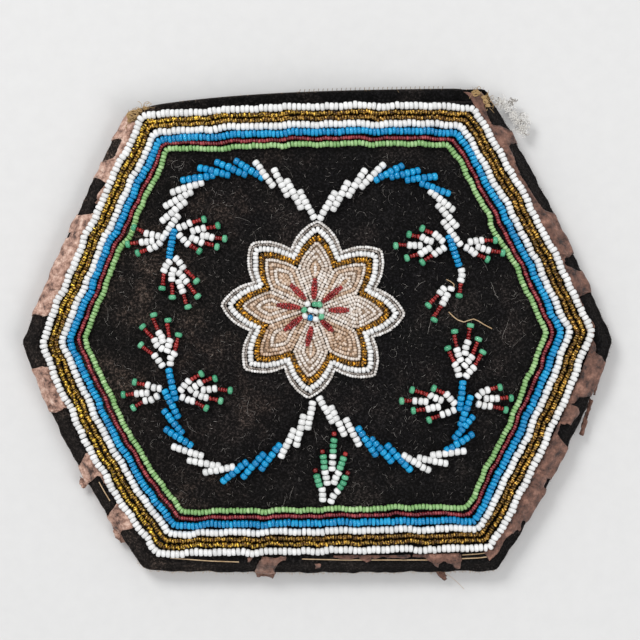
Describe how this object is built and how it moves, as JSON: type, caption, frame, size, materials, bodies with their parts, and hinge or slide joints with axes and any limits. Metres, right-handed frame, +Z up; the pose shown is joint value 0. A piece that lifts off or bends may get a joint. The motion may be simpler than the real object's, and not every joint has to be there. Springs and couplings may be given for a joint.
{
  "type": "beaded bag",
  "caption": "Flat six-sided velvet bag with an open mouth, a worn silk ribbon binding and sewn bead rows, vines and a flower.",
  "frame": {"origin": "below the middle of the bag, on the surface that its back lies on", "axes": "+Z up out of the beaded front, +Y to the open mouth, +X to the right as the front is seen"},
  "size_m": [0.1704, 0.1408, 0.0161],
  "materials": {
    "back_card": "matte board",
    "back_lining": "matte",
    "back_velvet": "matte pile",
    "border_blue": "opaque gloss",
    "border_gold_inner": "translucent gloss",
    "border_gold_outer": "translucent gloss",
    "border_green": "opaque gloss",
    "border_red": "translucent gloss",
    "border_white_inner": "opaque gloss",
    "border_white_outer": "opaque gloss",
    "flower_centre": "opaque gloss",
    "flower_clear_edge": "translucent gloss",
    "flower_gold_ring": "translucent gloss",
    "flower_petals": "translucent gloss",
    "flower_red_rays": "translucent gloss",
    "flower_white_ring": "opaque gloss",
    "front_card": "matte board",
    "front_lining": "matte",
    "front_velvet": "matte pile",
    "loose_thread": "matte",
    "mouth_knot_left": "matte",
    "mouth_knot_right": "matte",
    "ribbon_base": "worn satin",
    "ribbon_lower_left": "worn satin",
    "ribbon_lower_right": "worn satin",
    "ribbon_upper_left": "worn satin",
    "ribbon_upper_right": "worn satin",
    "spray_base": "opaque gloss",
    "spray_lower_left_inner": "opaque gloss",
    "spray_lower_left_outer": "opaque gloss",
    "spray_lower_left_tip": "opaque gloss",
    "spray_lower_right_inner": "opaque gloss",
    "spray_lower_right_outer": "opaque gloss",
    "spray_lower_right_tip": "opaque gloss",
    "spray_upper_left_inner": "opaque gloss",
    "spray_upper_left_outer": "opaque gloss",
    "spray_upper_left_tip": "opaque gloss",
    "spray_upper_right_inner": "opaque gloss",
    "spray_upper_right_outer": "opaque gloss",
    "spray_upper_right_tip": "opaque gloss",
    "thread_tuft": "matte",
    "vine_lower_left_blue": "opaque gloss",
    "vine_lower_left_inner_white": "opaque gloss",
    "vine_lower_left_outer_white": "opaque gloss",
    "vine_lower_left_stem": "opaque gloss",
    "vine_lower_right_blue": "opaque gloss",
    "vine_lower_right_inner_white": "opaque gloss",
    "vine_lower_right_outer_white": "opaque gloss",
    "vine_lower_right_stem": "opaque gloss",
    "vine_upper_left_blue": "opaque gloss",
    "vine_upper_left_inner_white": "opaque gloss",
    "vine_upper_left_outer_white": "opaque gloss",
    "vine_upper_left_stem": "opaque gloss",
    "vine_upper_right_blue": "opaque gloss",
    "vine_upper_right_inner_white": "opaque gloss",
    "vine_upper_right_outer_white": "opaque gloss",
    "vine_upper_right_stem": "opaque gloss"
  },
  "bodies": {
    "root": {"back_card": "back_card", "back_lining": "back_lining", "back_velvet": "back_velvet", "border_blue": "border_blue", "border_gold_inner": "border_gold_inner", "border_gold_outer": "border_gold_outer", "border_green": "border_green", "border_red": "border_red", "border_white_inner": "border_white_inner", "border_white_outer": "border_white_outer", "flower_centre": "flower_centre", "flower_clear_edge": "flower_clear_edge", "flower_gold_ring": "flower_gold_ring", "flower_petals": "flower_petals", "flower_red_rays": "flower_red_rays", "flower_white_ring": "flower_white_ring", "front_card": "front_card", "front_lining": "front_lining", "front_velvet": "front_velvet", "loose_thread": "loose_thread", "mouth_knot_left": "mouth_knot_left", "mouth_knot_right": "mouth_knot_right", "ribbon_base": "ribbon_base", "ribbon_lower_left": "ribbon_lower_left", "ribbon_lower_right": "ribbon_lower_right", "ribbon_upper_left": "ribbon_upper_left", "ribbon_upper_right": "ribbon_upper_right", "spray_base": "spray_base", "spray_lower_left_inner": "spray_lower_left_inner", "spray_lower_left_outer": "spray_lower_left_outer", "spray_lower_left_tip": "spray_lower_left_tip", "spray_lower_right_inner": "spray_lower_right_inner", "spray_lower_right_outer": "spray_lower_right_outer", "spray_lower_right_tip": "spray_lower_right_tip", "spray_upper_left_inner": "spray_upper_left_inner", "spray_upper_left_outer": "spray_upper_left_outer", "spray_upper_left_tip": "spray_upper_left_tip", "spray_upper_right_inner": "spray_upper_right_inner", "spray_upper_right_outer": "spray_upper_right_outer", "spray_upper_right_tip": "spray_upper_right_tip", "thread_tuft": "thread_tuft", "vine_lower_left_blue": "vine_lower_left_blue", "vine_lower_left_inner_white": "vine_lower_left_inner_white", "vine_lower_left_outer_white": "vine_lower_left_outer_white", "vine_lower_left_stem": "vine_lower_left_stem", "vine_lower_right_blue": "vine_lower_right_blue", "vine_lower_right_inner_white": "vine_lower_right_inner_white", "vine_lower_right_outer_white": "vine_lower_right_outer_white", "vine_lower_right_stem": "vine_lower_right_stem", "vine_upper_left_blue": "vine_upper_left_blue", "vine_upper_left_inner_white": "vine_upper_left_inner_white", "vine_upper_left_outer_white": "vine_upper_left_outer_white", "vine_upper_left_stem": "vine_upper_left_stem", "vine_upper_right_blue": "vine_upper_right_blue", "vine_upper_right_inner_white": "vine_upper_right_inner_white", "vine_upper_right_outer_white": "vine_upper_right_outer_white", "vine_upper_right_stem": "vine_upper_right_stem"}
  },
  "joints": []
}
